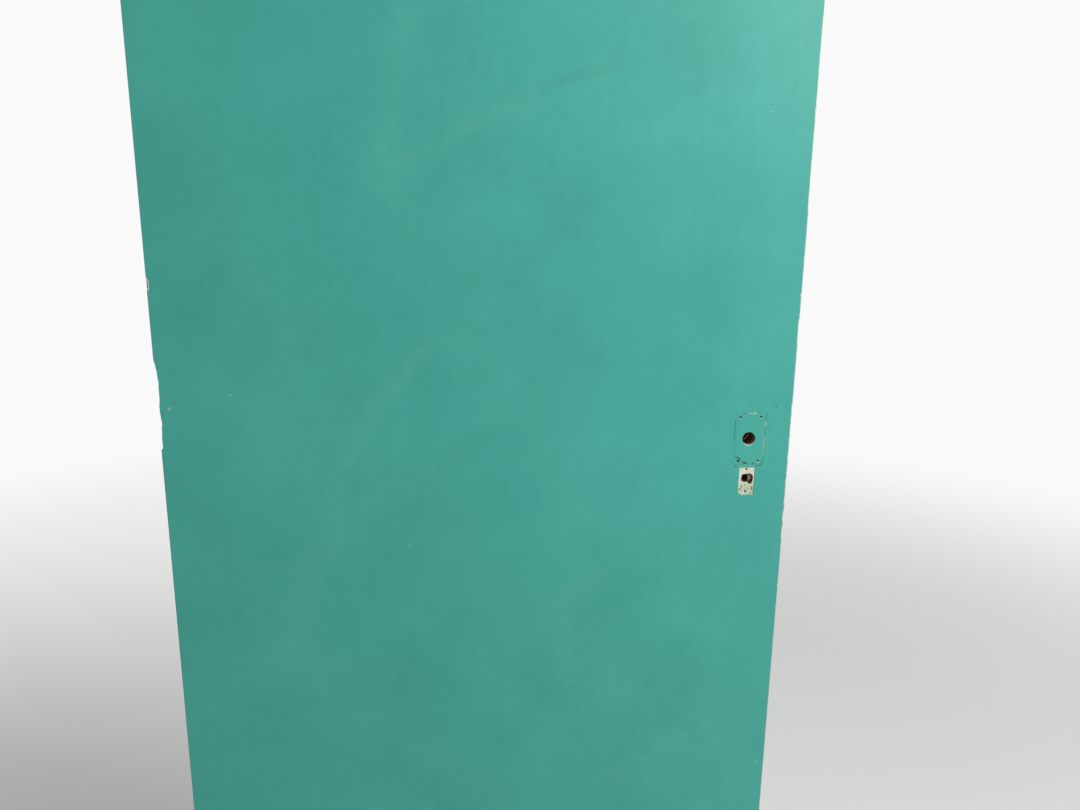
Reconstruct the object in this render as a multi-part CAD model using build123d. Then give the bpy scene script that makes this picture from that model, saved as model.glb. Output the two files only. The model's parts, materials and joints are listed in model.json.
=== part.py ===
from build123d import *
import os

# A flush hollow core door leaf, taken off its hinges, with its lock and its handles removed.
# The origin is the middle of the bottom edge, half way through the thickness.
# X runs from the hinge edge to the lock edge, Y from the front to the back, and Z up.
# All sizes are in millimetres.

# The leaf
leaf_width = 810.0
leaf_height = 1980.0
leaf_thickness = 35.0
skin_thickness = 3.2
arris_radius = 1.0

# The softwood frame between the skins, with breather holes in the second cell from each side
stile_width = 28.0
rail_height = 28.0
breather_diameter = 6.0
breather_column_number = 2

# The wire staples across the butt joints of the frame
staple_crown = 12.0
staple_leg = 14.0
staple_wire = 1.2
staples_per_corner = 2

# The core: hardboard strips on edge, slotted half way into each other as in an egg crate
column_count = 7
row_count = 17
strip_thickness = 3.2
slot_clearance = 0.3
notch_depth = 4.5

# The blocks for the lock are one cell wide and this many cells high
block_row_count = 3

# The spindle hole and the keyhole below it, from the lock edge and from the bottom
backset = 57.0
spindle_height = 979.0
spindle_diameter = 17.5
spindle_to_key = 57.0
key_head_diameter = 10.0
key_slot_width = 6.0
key_slot_drop = 9.0

# The front keyhole is broken out, and this is its outline from the key's centre, as seen from the front
broken_keyhole = [
    (-5.4, 6.4), (3.9, 7.9), (6.9, 5.6), (8.1, 2.0), (7.5, -2.9),
    (5.9, -6.6), (3.3, -6.2), (1.8, -3.8), (-3.0, -3.7), (-6.8, -1.8),
]

# The lock's mortice and the rebate for its face plate
mortice_width = 16.0
mortice_behind_spindle = 21.0
mortice_above_spindle = 26.0
mortice_below_key = 29.0
face_plate_width = 22.0
face_plate_height = 155.0
face_plate_thickness = 3.0
face_screw_spacing = 134.0
face_screw_diameter = 3.2
face_screw_depth = 20.0

# The handle plate and the keyhole plate left shallow traces in the front skin, and their screw holes
handle_plate_width = 42.0
handle_plate_height = 72.0
handle_plate_right = 1.0
handle_plate_drop = 1.0
handle_screw_spacing_across = 28.0
handle_screw_spacing_up = 60.7
key_plate_width = 21.5
key_plate_height = 39.0
key_plate_right = 0.8
key_plate_drop = 2.9
key_screw_spacing = 31.3
key_screw_drop = 1.4
plate_corner_radius = 1.5
plate_trace_depth = 0.3
plate_screw_diameter = 2.8
wood_behind_plate_screws = 0.5

# The hinge gains, sunk into the hinge edge and open to the front
hinge_length = 102.0
hinge_leaf_width = 30.0
hinge_leaf_thickness = 3.2
top_hinge_drop = 150.0
bottom_hinge_rise = 225.0
hinge_outer_screw_spacing = 78.0
hinge_inner_screw_spacing = 28.0
hinge_screw_stagger = 6.0
hinge_screw_diameter = 3.6
hinge_screw_depth = 20.0

# The hinge edge is bitten twice at the front: a chip out of the skin by itself, and the corner at the top
# of the middle gain, broken away through the skin and into the stile
free_bite_height = 1181.0
free_bite_length = 15.0
free_bite_reach = 2.0
free_bite_depth = 2.2
gain_bite_length = 24.0
gain_bite_reach = 2.2
gain_bite_depth = 7.0

# Depths, bays and the core's grid
half_width = leaf_width / 2
half_thickness = leaf_thickness / 2
core_depth = leaf_thickness - 2 * skin_thickness
half_core = core_depth / 2
bay_width = leaf_width - 2 * stile_width
bay_height = leaf_height - 2 * rail_height
bay_middle = rail_height + bay_height / 2
column_pitch = (bay_width + strip_thickness) / column_count
row_pitch = (bay_height + strip_thickness) / row_count
slot_width = strip_thickness + slot_clearance


def strip_places(cells, pitch):
    """Where the strips between the cells stand, from the middle of the bay."""
    return [(i - cells / 2) * pitch for i in range(1, cells)]


def cell_middles(cells, pitch):
    """The middle of each cell, from the middle of the bay."""
    return [(i + 0.5 - cells / 2) * pitch for i in range(cells)]


column_places = strip_places(column_count, column_pitch)
column_middles = cell_middles(column_count, column_pitch)
row_places = strip_places(row_count, row_pitch)
row_middles = cell_middles(row_count, row_pitch)

# Places of the lock and of its plates
spindle_x = half_width - backset
key_height = spindle_height - spindle_to_key
mortice_depth = backset + mortice_behind_spindle
mortice_top = spindle_height + mortice_above_spindle
mortice_bottom = key_height - mortice_below_key
mortice_height = mortice_top - mortice_bottom
lock_middle = (mortice_top + mortice_bottom) / 2
plate_screw_depth = half_thickness - mortice_width / 2 - wood_behind_plate_screws
handle_plate_middle = (spindle_x + handle_plate_right, spindle_height - handle_plate_drop)
key_plate_middle = (spindle_x + key_plate_right, key_height - key_plate_drop)
key_screws_middle = (spindle_x, key_height - key_screw_drop)

# Heights of the hinges' middles, with the middle hinge half way between the others
top_hinge = leaf_height - top_hinge_drop - hinge_length / 2
bottom_hinge = bottom_hinge_rise + hinge_length / 2
middle_hinge = (bottom_hinge + top_hinge) / 2

# The blocks take the row of cells that the lock's middle falls in, and as many rows above it as below
lock_row = int((lock_middle - rail_height) // row_pitch)
strip_under_block = lock_row - block_row_count // 2 - 1
strip_over_block = strip_under_block + block_row_count
block_low = bay_middle + row_places[strip_under_block] + strip_thickness / 2
block_high = bay_middle + row_places[strip_over_block] - strip_thickness / 2
block_inner = column_places[-1] + strip_thickness / 2
block_outer = bay_width / 2


def through(outline, front, back):
    """Carries an outline, drawn as seen from the front, from one depth in the leaf to another."""
    plane = Plane(origin=(0, front, 0), x_dir=(1, 0, 0), z_dir=(0, -1, 0))
    return extrude(plane * outline, front - back)


def into_edge(outline, side, height, start, depth):
    """Sinks an outline, drawn with x along the thickness, into one long edge, from start below its face."""
    origin = (side * (half_width - start), 0, height)
    plane = Plane(origin=origin, x_dir=(0, 1, 0), z_dir=(side, 0, 0))
    return extrude(plane * outline, -depth)


def face_sheet(side):
    """One hardboard skin with its outer arrises eased; side is -1 at the front and 1 at the back."""
    depth = side * (half_thickness - skin_thickness / 2)
    sheet = Pos(0, depth, leaf_height / 2) * Box(leaf_width, skin_thickness, leaf_height)
    outer_face = sheet.faces().sort_by(Axis.Y)[0 if side < 0 else -1]
    return fillet(outer_face.edges(), arris_radius)


def stile(side):
    """One upright of the frame, as tall as the leaf; side is -1 at the hinges and 1 at the lock."""
    x = side * (half_width - stile_width / 2)
    return Pos(x, 0, leaf_height / 2) * Box(stile_width, core_depth, leaf_height)


def rail(height):
    """One crosspiece of the frame, butted between the stiles, with its two breather holes."""
    hole = Cylinder(breather_diameter / 2, rail_height)
    columns = (breather_column_number - 1, column_count - breather_column_number)
    bar = Box(bay_width, core_depth, rail_height) - [Pos(column_middles[i]) * hole for i in columns]
    return Pos(0, 0, height) * bar


def staple(x, height):
    """One wire staple, driven flush from the front across the joint at x, with its two legs in the wood."""
    wire_ends = (Align.CENTER, Align.MIN)
    shape = Rectangle(staple_crown, staple_leg, align=wire_ends)
    shape -= Pos(0, staple_wire) * Rectangle(staple_crown - 2 * staple_wire, staple_leg, align=wire_ends)
    return Pos(x, -half_core, height) * extrude(shape, staple_wire / 2, both=True)


def block(side):
    """One lock block, filling its cells between the stile and the nearest upright strip."""
    width, height = block_outer - block_inner, block_high - block_low
    place = Pos(side * (block_inner + block_outer) / 2, 0, (block_low + block_high) / 2)
    return place * Box(width, core_depth, height)


def strip_outline(length, crossings, breathers, open_side):
    """A core strip lying flat: a slot to half its depth at each crossing, and a V notch at each breather."""
    slot = Rectangle(slot_width, half_core)
    notch = Rectangle(notch_depth * 2**0.5, notch_depth * 2**0.5, rotation=45)
    slots = [Pos(place, open_side * half_core / 2) * slot for place in crossings]
    notches = [Pos(place, -open_side * half_core) * notch for place in breathers]
    return Rectangle(length, core_depth) - slots - notches


def cross_strip(row):
    """A level strip, slotted from the back; it stops at the blocks where it meets them."""
    beside_block = strip_under_block < row < strip_over_block
    length = 2 * block_inner if beside_block else bay_width
    middles = column_middles[1:-1] if beside_block else column_middles
    outline = strip_outline(length, column_places, middles, 1)
    return Pos(0, 0, bay_middle + row_places[row]) * extrude(outline, strip_thickness / 2, both=True)


def upright_strip(column):
    """An upright strip from rail to rail, slotted from the front, and notched only beside the rails."""
    plane = Plane(origin=(column_places[column], 0, bay_middle), x_dir=(0, 0, 1), z_dir=(-1, 0, 0))
    end_cells = (row_middles[0], row_middles[-1])
    outline = strip_outline(bay_height, row_places, end_cells, -1)
    return extrude(plane * outline, strip_thickness / 2, both=True)


def lock_cuts():
    """What the lock needs: spindle bore, keyholes, mortice, and the face plate's rebate and screw holes."""
    spindle = Pos(spindle_x, spindle_height) * Circle(spindle_diameter / 2)
    front_key = Pos(spindle_x, key_height) * make_face(Polyline(*broken_keyhole, close=True))
    key_slot = Pos(0, -key_slot_drop / 2) * SlotCenterToCenter(key_slot_drop, key_slot_width, rotation=90)
    back_key = Pos(spindle_x, key_height) * (Circle(key_head_diameter / 2) + key_slot)
    face_screws = GridLocations(0, face_screw_spacing, 1, 2) * Circle(face_screw_diameter / 2)
    return [
        through(spindle, -half_thickness, half_thickness),
        through(front_key, -half_thickness, 0),
        through(back_key, 0, half_thickness),
        into_edge(Rectangle(mortice_width, mortice_height), 1, lock_middle, 0, mortice_depth),
        into_edge(Rectangle(face_plate_width, face_plate_height), 1, lock_middle, 0, face_plate_thickness),
        into_edge(Sketch() + face_screws, 1, lock_middle, face_plate_thickness, face_screw_depth),
    ]


def plate_screw_cuts():
    """The screw holes of the handle plate and the keyhole plate, on both sides of the leaf."""
    hole = Circle(plate_screw_diameter / 2)
    handle_holes = GridLocations(handle_screw_spacing_across, handle_screw_spacing_up, 2, 2) * hole
    key_holes = GridLocations(0, key_screw_spacing, 1, 2) * hole
    outline = Pos(*handle_plate_middle) * (Sketch() + handle_holes)
    outline += Pos(*key_screws_middle) * (Sketch() + key_holes)
    return [
        through(outline, -half_thickness, plate_screw_depth - half_thickness),
        through(outline, half_thickness - plate_screw_depth, half_thickness),
    ]


def plate_traces():
    """The shallow beds that the two plates left in the paint and the skin at the front."""
    handle = RectangleRounded(handle_plate_width, handle_plate_height, plate_corner_radius)
    key = RectangleRounded(key_plate_width, key_plate_height, plate_corner_radius)
    outline = Pos(*handle_plate_middle) * handle + Pos(*key_plate_middle) * key
    return through(outline, -half_thickness, plate_trace_depth - half_thickness)


def hinge_cuts(height):
    """One gain and its four screw holes, two near the front and two near the back."""
    gain_middle = hinge_leaf_width / 2 - half_thickness
    gain = Pos(gain_middle, 0) * Rectangle(hinge_leaf_width, hinge_length)
    hole = Circle(hinge_screw_diameter / 2)
    outer = GridLocations(0, hinge_outer_screw_spacing, 1, 2) * hole
    inner = GridLocations(0, hinge_inner_screw_spacing, 1, 2) * hole
    holes = Pos(gain_middle + hinge_screw_stagger, 0) * (Sketch() + outer)
    holes += Pos(gain_middle - hinge_screw_stagger, 0) * (Sketch() + inner)
    return [
        into_edge(gain, -1, height, 0, hinge_leaf_thickness),
        into_edge(holes, -1, height, hinge_leaf_thickness, hinge_screw_depth),
    ]


def edge_bite(height, length, reach, depth):
    """A curved bite out of the front of the hinge edge, reaching in from the edge."""
    radius = (length**2 / 4 + reach**2) / (2 * reach)
    outline = Pos(reach - half_width - radius, height) * Circle(radius)
    return through(outline, -half_thickness, depth - half_thickness)


def build_leaf():
    """Makes every piece of the leaf, by name."""
    gains = hinge_cuts(bottom_hinge) + hinge_cuts(middle_hinge) + hinge_cuts(top_hinge)
    lock = lock_cuts() + plate_screw_cuts()
    middle_gain_top = middle_hinge + hinge_length / 2
    bites = [
        edge_bite(free_bite_height, free_bite_length, free_bite_reach, free_bite_depth),
        edge_bite(middle_gain_top, gain_bite_length, gain_bite_reach, gain_bite_depth),
    ]
    joints = [(side * bay_width / 2, end) for side in (-1, 1) for end in (0, leaf_height - rail_height)]
    steps = [rail_height * (i + 1) / (staples_per_corner + 1) for i in range(staples_per_corner)]
    staples = [staple(x, end + step) for x, end in joints for step in steps]

    pieces = {
        "front_skin": face_sheet(-1) - gains - lock - plate_traces() - bites,
        "back_skin": face_sheet(1) - gains - lock,
        "hinge_stile": stile(-1) - gains - bites - staples,
        "lock_stile": stile(1) - lock - staples,
        "bottom_rail": rail(rail_height / 2) - staples,
        "top_rail": rail(leaf_height - rail_height / 2) - staples,
        "lock_block": block(1) - lock,
        "spare_block": block(-1) - gains,
        "corner_staples": Compound(staples),
    }
    for column in range(len(column_places)):
        pieces[f"upright_strip_{column + 1}"] = upright_strip(column)
    for row in range(len(row_places)):
        pieces[f"cross_strip_{row + 1:02d}"] = cross_strip(row)
    return pieces


os.makedirs("parts", exist_ok=True)
for name, piece in build_leaf().items():
    piece.label = name
    export_step(piece, f"parts/{name}.step")
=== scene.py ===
import json
from math import cos, pi, radians, sin
from random import Random

import bmesh
import bpy
from bpy.props import FloatProperty, FloatVectorProperty, PointerProperty
from bpy.types import Operator, Panel, PropertyGroup
from mathutils import Matrix, Vector, noise


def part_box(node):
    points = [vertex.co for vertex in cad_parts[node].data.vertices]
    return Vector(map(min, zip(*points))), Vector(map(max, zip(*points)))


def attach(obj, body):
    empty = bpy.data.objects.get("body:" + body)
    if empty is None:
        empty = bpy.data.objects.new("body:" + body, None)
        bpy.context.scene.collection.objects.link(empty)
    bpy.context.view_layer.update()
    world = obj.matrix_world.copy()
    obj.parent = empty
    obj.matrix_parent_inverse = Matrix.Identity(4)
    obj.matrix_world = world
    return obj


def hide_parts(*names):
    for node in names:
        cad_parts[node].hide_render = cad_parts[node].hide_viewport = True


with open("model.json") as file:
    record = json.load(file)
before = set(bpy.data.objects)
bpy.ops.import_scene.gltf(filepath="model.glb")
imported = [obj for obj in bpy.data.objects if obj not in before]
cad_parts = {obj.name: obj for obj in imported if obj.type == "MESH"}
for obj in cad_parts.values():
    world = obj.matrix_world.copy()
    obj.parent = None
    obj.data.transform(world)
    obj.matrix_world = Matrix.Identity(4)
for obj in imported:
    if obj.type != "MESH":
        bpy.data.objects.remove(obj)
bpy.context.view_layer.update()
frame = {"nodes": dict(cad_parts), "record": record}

bl_info = {
    "name": "Hollow Core Door",
    "version": (1, 0, 0),
    "blender": (4, 5, 0),
    "location": "3D View > Sidebar > Door",
    "description": "Dresses a flush hollow core door leaf in worn enamel, bare wood and hardboard",
    "category": "Object",
}

MM = 0.001

# The leaf's faces and edges
SKIN_LOW, SKIN_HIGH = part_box("front_skin")
FRONT, SKIN_INSIDE = SKIN_LOW.y, SKIN_HIGH.y
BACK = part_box("back_skin")[1].y
HINGE_EDGE, LOCK_EDGE = SKIN_LOW.x, SKIN_HIGH.x
TOP = SKIN_HIGH.z

# The lock's holes and the hinge gains
MOUNTS = {mount["name"]: mount for mount in frame["record"]["mounts"]}
SPINDLE = Vector(MOUNTS["spindle_bore"]["pos_m"])
SPINDLE_RADIUS = MOUNTS["spindle_bore"]["dims"]["r_mm"] * MM
HANDLE_MIDDLE = Vector(MOUNTS["front_handle_screws"]["pos_m"])
TRACE_FLOOR = HANDLE_MIDDLE.y
LOCK_SEAT = Vector(MOUNTS["lock_face_seat"]["pos_m"])
HINGE_SEATS = [Vector(MOUNTS[f"{name}_hinge_seat"]["pos_m"]) for name in ("bottom", "middle", "top")]
OPENINGS = {opening["name"]: opening["box_m"] for opening in frame["record"]["physics"]["openings"]}
KEY = (Vector(OPENINGS["keyhole"][0]) + Vector(OPENINGS["keyhole"][1])) / 2
MORTICE_LOW = Vector(OPENINGS["lock_mortice"][0])
GAIN_FLOOR = HINGE_SEATS[1].x

# Width and height of the cuts in the two long edges
HINGE_CUT = (30 * MM, 102 * MM)
LOCK_CUT = (22 * MM, 155 * MM)
# The keyhole's plate sat a little to the right of the keyhole, and lower
KEY_TRACE = Vector((KEY.x + 0.8 * MM, KEY.z - 2.9 * MM))
# How far round its middle the keyhole goes, and how far the damage to the skin and to the wood behind it
KEYHOLE_REACH = 9.5 * MM
TORN_REACH = 12 * MM
SPLINTER_REACH = 15 * MM
# Height of the piece broken from the hinge edge, with its depth and half its length
FREE_CHIP = 1181 * MM
CHIP_DEPTH, CHIP_HALF = 2.5 * MM, 8 * MM
# Which way from the spindle its hole's rim has crumbled
BURR_TURN = radians(-62)

# What counts as one point, one plane, a sharp edge, and a place on a face
MERGE_DISTANCE = 0.002 * MM
CUT_SNAP = 0.0005 * MM
COPLANAR = radians(0.2)
SHARP = radians(32)
NEAR = 0.05 * MM
# How far the fine mesh round the lock's holes reaches from the spindle
FINE_LEFT, FINE_RIGHT, FINE_DOWN, FINE_UP = 23 * MM, 25 * MM, 83 * MM, 38 * MM
# Cuts along each long edge, in millimetres from it, and across the faces that a mark reaches
STRIP_CUTS = (1.7, 2.4, 3.2, 4.5)
MARK_CUTS = 9


def linear(code):
    """Turns an sRGB hex colour to linear red, green and blue."""
    parts = [int(code[i : i + 2], 16) / 255 for i in (0, 2, 4)]
    return [part / 12.92 if part <= 0.04045 else ((part + 0.055) / 1.055) ** 2.4 for part in parts]


def colour(name, description, code):
    """A colour in the sidebar, with its default as sRGB hex."""
    return FloatVectorProperty(name=name, description=description, subtype="COLOR", min=0, max=1,
                               default=linear(code))


def size(name, description, millimetres):
    """A length in the sidebar, with its default in millimetres."""
    return FloatProperty(name=name, description=description, subtype="DISTANCE", unit="LENGTH",
                         default=millimetres * MM)


class DoorPaint(PropertyGroup):
    """Colours of the paints and of what lies under them."""

    enamel: colour("Enamel", "Teal satin enamel on both faces", "3A988C")
    enamel_light: colour("Light Enamel", "The enamel where the roller left it thinner", "49AB9E")
    enamel_thin: colour("Rubbed Enamel", "The enamel where it is rubbed thin at an edge", "7896A3")
    smear: colour("Smear", "Dry wipe marks on the enamel", "7CC0B4")
    cream: colour("Cream", "The older gloss under the enamel and on the long edges", "CFD8C4")
    # The same dark colour darkens the insides of the lock's holes and the cut round the handle plate, where
    # it is painted shade
    cream_aged: colour("Aged Cream", "The older gloss where it has yellowed", "C3CBAB")
    grime_and_shade: colour("Grime", "Dirt and rust in scratches and round holes", "2C2320")
    hardboard: colour("Hardboard", "Cut edges of the skins, and the core strips", "75523A")
    hardboard_dark: colour("Dark Fibres", "Darker fibres in the hardboard", "4A3123")
    pine_early: colour("Early Wood", "Pale wood between the growth rings", "D9BB8B")
    pine_late: colour("Late Wood", "Darker lines of the growth rings", "B0804F")
    zinc: colour("Zinc", "Dull galvanised wire", "A7A8A5")


class DoorWear(PropertyGroup):
    """Sizes of the wear, and of the mesh that carries it."""

    face_spacing: size("Face Spacing", "Mesh spacing over the two wide faces", 12)
    fine_spacing: size("Fine Spacing", "Mesh spacing round the lock's holes", 0.55)
    edge_spacing: size("Edge Spacing", "Mesh spacing along the long edges", 3)
    edge_reach: size("Edge Reach", "Width of the closer mesh at the long edges", 7)
    film: size("Paint Film", "Thickness of one coat of paint", 0.12)
    chip: size("Chip Depth", "Depth of a chip that reaches into the hardboard", 0.45)
    chisel_step: size("Chisel Step", "Length of one chisel cut in a hinge gain", 7)
    chisel_depth: size("Chisel Depth", "Depth of one chisel cut in a hinge gain", 0.35)
    handle_trace_width: size("Handle Trace Width", "Width of the trace of the handle plate", 42)
    handle_trace_height: size("Handle Trace Height", "Height of the trace of the handle plate", 72)
    key_trace_width: size("Key Trace Width", "Width of the trace of the keyhole plate", 21.5)
    key_trace_height: size("Key Trace Height", "Height of the trace of the keyhole plate", 39)
    trace_corner: size("Trace Corner", "Corner radius of both traces", 1.5)


class DoorStage(PropertyGroup):
    """The camera, the lamps and the floor."""

    lens: FloatProperty(name="Lens", description="Focal length in millimetres", default=29.13)
    eye: FloatVectorProperty(name="Eye", description="Place of the camera", subtype="TRANSLATION",
                             unit="LENGTH", default=(-0.0507, -1.1037, 1.2897))
    turn: FloatVectorProperty(name="Turn", description="Rotation of the camera", subtype="EULER",
                              default=[radians(angle) for angle in (76.546, -0.738, -6.039)])
    floor: colour("Floor", "Plain pale floor", "DCDCD9")
    floor_radius: FloatProperty(name="Floor Radius", description="Where the floor has faded out",
                                subtype="DISTANCE", unit="LENGTH", default=4.0)
    key_power: FloatProperty(name="Key Power", description="Large lamp at the upper right", default=100)
    fill_power: FloatProperty(name="Fill Power", description="Soft lamp at the left", default=1)
    back_power: FloatProperty(name="Back Power", description="Lamp behind the door", default=60)
    ambient: FloatProperty(name="Ambient", description="Light from all round", default=0.17)
    backdrop: FloatProperty(name="Backdrop", description="Brightness of the background", default=0.95)


# Marks on the front face

def mark(points, reach, wear=0.0, soil_and_shade=0.0):
    """A mark along a line of points, across and up from the bottom middle, and what it does to the paint.

    It fades out at its reach to each side. Wear of 0.5 lays the cream bare, and 0.85 the hardboard. Soil
    below 0 is dirt, and in the cut round the handle plate also painted shade; above 0 it is a pale smear.
    All lengths are in millimetres.
    """
    line = [Vector((x * MM, z * MM)) for x, z in points]
    return {"line": line, "reach": reach * MM, "wear": wear, "soil_and_shade": soil_and_shade}


def lock_mark(points, reach, wear=0.0, soil_and_shade=0.0):
    """A mark whose points are measured across and up from the spindle."""
    return mark([(SPINDLE.x / MM + x, SPINDLE.z / MM + z) for x, z in points], reach, wear, soil_and_shade)


LOCK_MARKS = [
    # Chips of paint along the edge of the handle plate's trace
    lock_mark([(-2.6, 34.7), (1.5, 34.7)], 1.4, wear=0.66),
    lock_mark([(3.6, 34.9), (8.4, 35.0)], 1.8, wear=0.78),
    lock_mark([(21.9, 22.6), (22.0, 16.0)], 1.7, wear=0.72),
    lock_mark([(21.7, 1.9), (21.8, -6.5), (22.1, -15.0)], 1.5, wear=0.70),
    lock_mark([(22.1, -15.0), (22.0, -24.5)], 1.4, wear=0.58),
    # Dark dashes in the cut round the plate: dirt, and painted shade of the cut's step
    lock_mark([(-9.2, 34.8), (-7.4, 34.7)], 1.3, soil_and_shade=-0.85),
    lock_mark([(-19.8, 24.0), (-20.0, 12.0), (-19.9, -1.0)], 1.1, soil_and_shade=-0.66),
    lock_mark([(-18.0, 34.9), (-11.0, 34.9)], 0.9, soil_and_shade=-0.45),
    lock_mark([(9.5, 35.0), (21.0, 34.9)], 0.9, soil_and_shade=-0.45),
    lock_mark([(22.0, 33.0), (22.0, 24.0)], 0.9, soil_and_shade=-0.45),
    lock_mark([(22.0, 14.5), (22.0, 3.0)], 0.9, soil_and_shade=-0.40),
    # Burrs under the screw holes
    lock_mark([(-13.6, 27.4), (-12.0, 27.3)], 1.6, wear=0.60),
    lock_mark([(14.2, 27.5), (16.6, 27.3)], 1.6, wear=0.60),
    lock_mark([(15.0, -33.2), (16.4, -33.0)], 1.6, wear=0.80),
    # Scratches and blots below the spindle
    lock_mark([(-16.2, -25.2), (-14.6, -26.2), (-12.4, -27.0), (-10.6, -28.2), (-9.6, -29.8)], 1.5,
              soil_and_shade=-0.95),
    lock_mark([(-13.6, -29.4), (-11.0, -31.4)], 1.6, soil_and_shade=-0.80),
    lock_mark([(-5.6, -33.6), (-3.6, -34.0), (-1.4, -33.8)], 2.0, soil_and_shade=-1.0),
    lock_mark([(7.6, -34.6), (9.2, -34.5)], 1.7, soil_and_shade=-0.80),
    lock_mark([(12.6, -37.8), (16.5, -37.9), (20.0, -37.2)], 1.3, soil_and_shade=-0.75),
    lock_mark([(18.4, -33.2), (19.8, -34.8)], 1.2, soil_and_shade=-0.70),
    lock_mark([(-16.6, -37.9), (-14.4, -38.2)], 1.9, soil_and_shade=-0.82),
    lock_mark([(-12.0, -36.6), (-6.0, -37.0), (4.0, -36.9)], 0.9, soil_and_shade=-0.42),
    # Grey smudges beside the keyhole's plate
    lock_mark([(9.4, -67.0), (9.0, -71.5)], 1.8, soil_and_shade=-0.72),
    lock_mark([(-7.8, -70.0), (-7.2, -72.6)], 1.8, soil_and_shade=-0.70),
    lock_mark([(-6.2, -65.6), (-5.4, -67.8)], 1.5, soil_and_shade=-0.60),
    lock_mark([(-0.8, -64.6), (0.2, -65.2)], 1.3, soil_and_shade=-0.66),
    lock_mark([(6.2, -74.4), (7.2, -75.8)], 1.5, soil_and_shade=-0.62),
    lock_mark([(2.0, -70.2), (3.2, -70.8)], 1.2, soil_and_shade=-0.55),
    lock_mark([(-9.6, -77.5), (-6.0, -79.6)], 1.8, soil_and_shade=-0.72),
    lock_mark([(-2.0, -78.6), (5.0, -79.2)], 1.2, soil_and_shade=-0.50),
    # The broken edge of the keyhole
    lock_mark([(-7.0, -58.6), (-5.4, -50.8), (3.9, -49.2), (7.0, -51.4), (8.2, -55.0), (7.6, -60.0),
               (6.0, -63.6), (3.3, -63.3), (1.8, -60.8), (-3.0, -60.8), (-7.0, -58.6)], 1.5, wear=1.0),
]
FACE_MARKS = [
    # Specks and short scratches
    mark([(-391.4, 1027.8), (-390.4, 1029.6)], 2.2, wear=0.66),
    mark([(-391.6, 1027.4), (-390.2, 1030.0)], 3.8, soil_and_shade=1.0),
    mark([(-319.5, 1045.5), (-315.0, 1046.3)], 1.9, wear=0.60, soil_and_shade=0.5),
    mark([(-321.9, 1215.3)], 2.0, soil_and_shade=-0.50),
    mark([(347.2, 1390.2)], 2.0, soil_and_shade=-0.55),
    mark([(347.0, 1393.6)], 3.0, wear=0.68),
    mark([(375.0, 1423.8)], 2.3, soil_and_shade=-0.66),
    mark([(324.9, 1314.7), (324.5, 1316.5)], 2.0, soil_and_shade=-0.52),
    mark([(319.9, 1349.1)], 2.0, soil_and_shade=-0.55),
    mark([(381.9, 1023.1), (383.6, 1023.0)], 2.1, soil_and_shade=-0.67),
    mark([(392.9, 484.9)], 3.0, wear=0.72),
    mark([(-102.9, 836.5), (-102.4, 840.5)], 3.0, soil_and_shade=0.9),
    # A faint dark scrape, and a short pale one
    mark([(67.7, 1413.9), (92.0, 1424.0), (122.0, 1433.0), (157.0, 1440.8)], 11, soil_and_shade=-0.24),
    mark([(-309.0, 1129.0), (-304.0, 1140.0), (-298.0, 1149.0)], 4.5, soil_and_shade=0.30),
    # The pale rim of the chip in the hinge edge, and a chip in the rim of the middle gain
    mark([(-402.7, 1175.5), (-402.5, 1186.5)], 2.6, wear=0.72),
    mark([(-401.6, 1012.0), (-400.8, 1009.4)], 2.6, wear=1.0, soil_and_shade=-0.4),
]
# Wipe marks, wide and faint
SMEARS = [
    mark([(-110.0, 1317.0), (-50.0, 1352.0), (15.0, 1388.0), (52.0, 1405.0)], 18, soil_and_shade=0.20),
    mark([(-70.0, 1115.0), (-96.0, 1082.0), (-128.0, 1044.0), (-158.0, 1000.0), (-181.0, 946.0)], 18,
         soil_and_shade=0.24),
    mark([(-62.0, 943.0), (-30.0, 966.0), (4.0, 996.0)], 20, soil_and_shade=-0.10),
    mark([(153.0, 790.0), (112.0, 766.0), (100.0, 725.0), (108.0, 640.0), (160.0, 535.0)], 22, soil_and_shade=0.18),
    mark([(163.0, 470.0), (215.0, 498.0), (278.0, 537.0)], 22, soil_and_shade=0.17),
    mark([(-95.0, 1500.0), (-112.0, 1400.0), (-122.0, 1300.0)], 22, soil_and_shade=0.18),
    mark([(-35.0, 1490.0), (-62.0, 1400.0)], 20, soil_and_shade=-0.08),
    mark([(-260.0, 700.0), (-230.0, 820.0), (-150.0, 900.0)], 34, soil_and_shade=0.15),
]

# How far the paint is worn along the arrises, at heights in millimetres from the spindle
LOCK_ARRIS_WEAR = [(-979, 0.43), (-160, 0.45), (-130, 0.52), (46, 0.52), (58, 0.45), (126, 0.45),
                   (131, 0.56), (157, 0.56), (162, 0.45), (290, 0.46), (315, 0.62), (1001, 0.62)]
HINGE_ARRIS_WEAR = [(-979, 0.34), (-400, 0.28), (20, 0.30), (110, 0.40), (140, 0.30), (188, 0.30),
                    (194, 0.60), (209, 0.60), (215, 0.30), (1001, 0.34)]
BACK_ARRIS_WEAR = [(0, 0.44)]
# How deep the skin's edge is behind the hinge edge in the middle gain, at heights from the bottom
GAIN_RIM = [(976, 2.2), (981, 2.4), (990, 2.3), (996, 2.6), (1004, 3.0), (1007, 3.4), (1009, 4.3),
            (1012, 4.3), (1014, 3.3), (1019, 3.1), (1025, 2.5), (1032, 2.5), (1040, 3.4), (1050, 3.6),
            (1055, 3.5), (1061, 4.0), (1067, 3.4), (1073, 3.1), (1079, 2.6)]


def between(table, place):
    """The value at a place in a table of places and values, in rising order, along straight lines."""
    for (start, low), (end, high) in zip(table, table[1:]):
        if place <= end:
            share = max(0.0, (place - start) / (end - start))
            return low + (high - low) * share
    return table[-1][1]


def smooth(share):
    """Eases a share from 0 to 1, and holds it there outside."""
    share = max(0.0, min(1.0, share))
    return share * share * (3 - 2 * share)


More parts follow.
